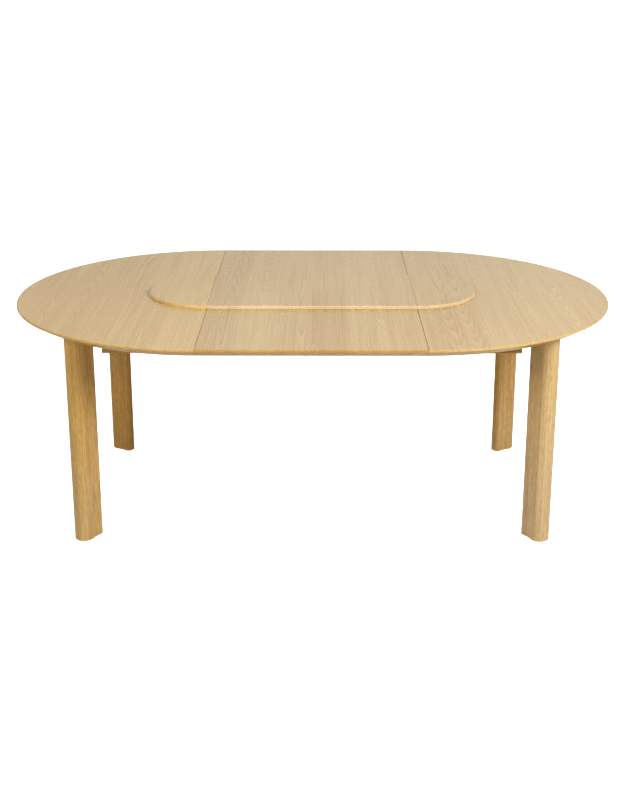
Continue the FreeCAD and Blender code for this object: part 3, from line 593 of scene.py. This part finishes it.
def screw_nodes():
    """Geometry Nodes: one screw with its recess cut, set on every point at a turn of its own."""
    group = bpy.data.node_groups.new("driven_screws", "GeometryNodeTree")
    for name, kind in SCREW_INPUTS.items():
        group.interface.new_socket(name, in_out="INPUT", socket_type=kind)
    group.interface.new_socket("Screws", in_out="OUTPUT", socket_type="NodeSocketGeometry")
    new = group.nodes.new
    link = group.links.new
    given = new("NodeGroupInput").outputs
    screw = new("GeometryNodeObjectInfo")
    recess = new("GeometryNodeObjectInfo")
    cut = new("GeometryNodeMeshBoolean")
    cut.operation = "DIFFERENCE"
    turn = new("FunctionNodeRandomValue")
    turn.data_type = "FLOAT_VECTOR"
    turn.inputs["Min"].default_value = (0.0, 0.0, 0.0)
    turn.inputs["Max"].default_value = (0.0, 0.0, math.tau)
    spread = new("GeometryNodeInstanceOnPoints")
    realise = new("GeometryNodeRealizeInstances")
    coat = new("GeometryNodeSetMaterial")
    link(given["Screw"], screw.inputs["Object"])
    link(given["Recess"], recess.inputs["Object"])
    link(screw.outputs["Geometry"], cut.inputs["Mesh 1"])
    link(recess.outputs["Geometry"], cut.inputs["Mesh 2"])
    link(given["Seed"], turn.inputs["Seed"])
    link(given["Points"], spread.inputs["Points"])
    link(cut.outputs["Mesh"], spread.inputs["Instance"])
    link(turn.outputs["Value"], spread.inputs["Rotation"])
    link(spread.outputs["Instances"], realise.inputs["Geometry"])
    link(realise.outputs["Geometry"], coat.inputs["Geometry"])
    link(given["Coat"], coat.inputs["Material"])
    link(coat.outputs["Geometry"], new("NodeGroupOutput").inputs["Screws"])
    return group


def boxes_apart(node, room):
    """Lowest and highest corner of each solid in a CAD node whose solids stand further apart than room."""
    stands = []
    for vertex in nodes[node].data.vertices:
        near = [stand for stand in stands if (stand[0].xy - vertex.co.xy).length < room]
        if near:
            near[0].append(vertex.co)
        else:
            stands.append([vertex.co])
    boxes = []
    for stand in stands:
        low = [min(point[axis] for point in stand) for axis in range(3)]
        high = [max(point[axis] for point in stand) for axis in range(3)]
        boxes.append((Vector(low), Vector(high)))
    return boxes


def screw_piece(name, feet, screw, recess, seed):
    """One mesh of screws that stand on the given feet."""
    points = bpy.data.meshes.new(name + "_points")
    points.from_pydata(feet, [], [])
    carrier = made(name + "_points", points)
    sockets = {item.name: item.identifier for item in screw_group.interface.items_tree}
    modifier = carrier.modifiers.new("screws", "NODES")
    modifier.node_group = screw_group
    modifier[sockets["Screw"]] = screw
    modifier[sockets["Recess"]] = recess
    modifier[sockets["Coat"]] = coats["bright_steel"]
    modifier[sockets["Seed"]] = seed
    graph = bpy.context.evaluated_depsgraph_get()
    piece = made(name, bpy.data.meshes.new_from_object(carrier.evaluated_get(graph)))
    for helper in (carrier, screw, recess):
        bpy.data.objects.remove(helper)
    return piece


def drive_screws(node, kind, body, seed):
    """One piece in place of a CAD node's plain screws: the same places and lengths, with real heads."""
    boxes = boxes_apart(node, SCREW_ROOM)
    feet = [((low.x + high.x) / 2, (low.y + high.y) / 2, low.z) for low, high in boxes]
    length = boxes[0][1].z - boxes[0][0].z
    screw = turned(node + "_screw", profile_of(kind, length))
    if kind == "bolt":
        hexagon = hexagon_outline(HEXAGON_RADIUS)
        recess = driver_recess(node + "_recess", hexagon, HEXAGON_DEPTH, HEXAGON_TAPER)
    else:
        cross = cross_outline(CROSS_REACH, CROSS_WIDTH)
        recess = driver_recess(node + "_recess", cross, CROSS_DEPTH, CROSS_TAPER)
    piece = screw_piece(node + "_detail", feet, screw, recess, seed)
    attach(piece, body)
    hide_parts(node)


def pin_plates(node, body, seed):
    """Low screw heads near the four corners of each latch plate, flat enough for the hook to swing over."""
    feet = []
    for low, high in boxes_apart(node, PLATE_ROOM):
        height = high.z - PLATE_THICKNESS - PLATE_SCREW_RISE
        for x in (low.x + PLATE_SCREW_INSET, high.x - PLATE_SCREW_INSET):
            for y in (low.y + PLATE_SCREW_INSET, high.y - PLATE_SCREW_INSET):
                feet.append((x, y, height))
    rim = PLATE_SCREW_RADIUS
    rise = PLATE_SCREW_RISE
    screw = turned(node + "_screw", [(rim * out, rise * up) for out, up in PLATE_SCREW_SHARES])
    cross = cross_outline(PLATE_CROSS_REACH * rim, PLATE_CROSS_WIDTH * rim)
    recess = driver_recess(node + "_recess", cross, PLATE_CROSS_DEPTH * rise, PLATE_CROSS_TAPER)
    piece = screw_piece(node + "_plate_screws", feet, screw, recess, seed)
    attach(piece, body)


def make_floor():
    """White studio floor on which only soft shadows show.

    It is clear from below, and lights what nearly touches it, so that the soles of the legs can be seen.
    """
    mesh = bpy.data.meshes.new("floor")
    sides = ((-1, -1), (1, -1), (1, 1), (-1, 1))
    corners = [(FLOOR_REACH * x, FLOOR_REACH * y, -FLOOR_DROP) for x, y in sides]
    mesh.from_pydata(corners, [], [(0, 1, 2, 3)])
    floor = made("floor", mesh)
    finish = Finish("studio_floor")
    finish.set(Base_Color=FLOOR_COLOUR, Roughness=FLOOR_ROUGHNESS, Emission_Color=WHITE)
    light_path = finish.tree.nodes.new("ShaderNodeLightPath")
    seen = finish.times(light_path.outputs["Is Camera Ray"], FLOOR_GLOW)
    close = finish.math("LESS_THAN", light_path.outputs["Ray Length"], SOLE_GLOW_REACH)
    finish.set(Emission_Strength=finish.line(close, SOLE_GLOW, seen))
    geometry = finish.tree.nodes.new("ShaderNodeNewGeometry")
    finish.set(Alpha=finish.less(1.0, geometry.outputs["Backfacing"]))
    mesh.materials.append(finish.material)


def make_world():
    """White surround: bright to the camera, dim as a light, and in reflections dimmer to the left."""
    world = bpy.data.worlds.new("studio")
    world.use_nodes = True
    tree = world.node_tree
    background = tree.nodes["Background"]
    background.inputs["Color"].default_value = WHITE
    light_path = tree.nodes.new("ShaderNodeLightPath")
    direction = tree.nodes.new("ShaderNodeTexCoord")
    sideways = tree.nodes.new("ShaderNodeSeparateXYZ")
    brightness = tree.nodes.new("ShaderNodeMapRange")
    brightness.inputs["From Min"].default_value = -GLOSS_FADE
    brightness.inputs["From Max"].default_value = 0.0
    brightness.inputs["To Min"].default_value = LEFT_GLOSS
    brightness.inputs["To Max"].default_value = SURROUND_GLOSS
    gloss = tree.nodes.new("ShaderNodeMapRange")
    gloss.inputs["To Min"].default_value = SURROUND_LIGHT
    seen = tree.nodes.new("ShaderNodeMix")
    seen.inputs["B"].default_value = 1.0
    tree.links.new(direction.outputs["Generated"], sideways.inputs["Vector"])
    tree.links.new(sideways.outputs["X"], brightness.inputs["Value"])
    tree.links.new(brightness.outputs["Result"], gloss.inputs["To Max"])
    tree.links.new(light_path.outputs["Is Glossy Ray"], gloss.inputs["Value"])
    tree.links.new(light_path.outputs["Is Camera Ray"], seen.inputs["Factor"])
    tree.links.new(gloss.outputs["Result"], seen.inputs["A"])
    tree.links.new(seen.outputs["Result"], background.inputs["Strength"])
    bpy.context.scene.world = world


def make_light(name, place, side, power):
    """Square softbox that the camera and reflections don't show."""
    light = bpy.data.lights.new(name, "AREA")
    light.size = side
    light.energy = power
    lamp = made(name, light)
    lamp.location = place
    lamp.rotation_euler = (Vector(LIT_POINT) - Vector(place)).to_track_quat("-Z", "Y").to_euler()
    lamp.visible_glossy = False


def make_camera():
    data = bpy.data.cameras.new("photo_camera")
    data.sensor_width = SENSOR_SIDE_MM
    data.lens = FOCAL_LENGTH_PX * SENSOR_SIDE_MM / IMAGE_HEIGHT
    data.shift_x = (IMAGE_WIDTH / 2 - AXIS_COLUMN) / IMAGE_HEIGHT
    data.shift_y = (AXIS_ROW - IMAGE_HEIGHT / 2) / IMAGE_HEIGHT
    camera = made("photo_camera", data)
    camera.location = EYE
    camera.rotation_euler = (math.radians(90.0 - LOOK_DOWN_DEG), 0.0, math.radians(LOOK_LEFT_DEG))
    bpy.context.scene.camera = camera


# Finishes of the CAD pieces
for name, (wood, edge) in BOARD_WOODS.items():
    to_face = (0.0, 0.0, -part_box(name)[1][2])
    seed = BOARD_SEEDS[name.split("_")[0]]
    paint(name, board_oak(name + "_oak", wood, edge, to_face, seed))
for index, (leg, (wood, bounce_lit_wood)) in enumerate(LEG_WOODS.items()):
    along = (0.0, LEG_SHIFT * index, 0.0)
    paint(leg, plank_oak(leg + "_oak", wood, bounce_lit_wood, UPRIGHT, along, FIRST_LEG_SEED + index))
rail_oak = plank_oak("rail_oak", LEG_OAK, LEG_OAK, ALONG_X, (0.0, 0.0, 0.0), RAIL_SEED)
beech_by_side = {
    0: slide_beech("beech_along_x", ALONG_X),
    1: slide_beech("beech_along_y", ALONG_Y),
    2: slide_beech("beech_upright", UPRIGHT),
}
coats = {
    "black_steel": coated("black_powder_coat", BLACK_COAT, roughness=0.42, bump=0.30),
    "bright_steel": coated("zinc_plate", ZINC, roughness=0.24, metallic=1.0),
    "latch_steel": coated("yellow_zinc", YELLOW_ZINC, roughness=0.24, metallic=1.0),
    "gear_nylon": coated("natural_nylon", NATURAL_NYLON, roughness=0.34),
    "glide_nylon": coated("brown_nylon", BROWN_NYLON, roughness=0.40),
}
slot_of = {part["node"]: part["material_slot"] for part in frame["record"]["subparts"]}
for name, slot in slot_of.items():
    if slot == "beech":
        low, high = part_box(name)
        sides = [top - bottom for bottom, top in zip(low, high)]
        paint(name, beech_by_side[sides.index(max(sides))])
    elif slot in coats:
        paint(name, coats[slot])
    elif name.endswith("_apron"):
        paint(name, rail_oak)

# Screws and bolts
screw_group = screw_nodes()
drive_screws("cross_batten_screws", "flush", "centre_frame", seed=1)
drive_screws("leaf_batten_screws", "flush", "leaf", seed=2)
pin_plates("leaf_strikes", "leaf", seed=3)
for half, first_seed in HALF_SEEDS.items():
    for offset, (fixing, kind) in enumerate(HALF_SCREWS.items()):
        drive_screws(half + fixing, kind, half + "_half", first_seed + offset)
    pin_plates(half + "_latch_bases", half + "_half", first_seed + HALF_PLATE_SEED)

# Studio
make_floor()
make_world()
for name, (place, side, power) in SOFTBOXES.items():
    make_light(name, place, side, power)
make_camera()
bpy.context.scene.view_settings.view_transform = "Standard"
bpy.context.scene.view_settings.look = "Medium High Contrast"
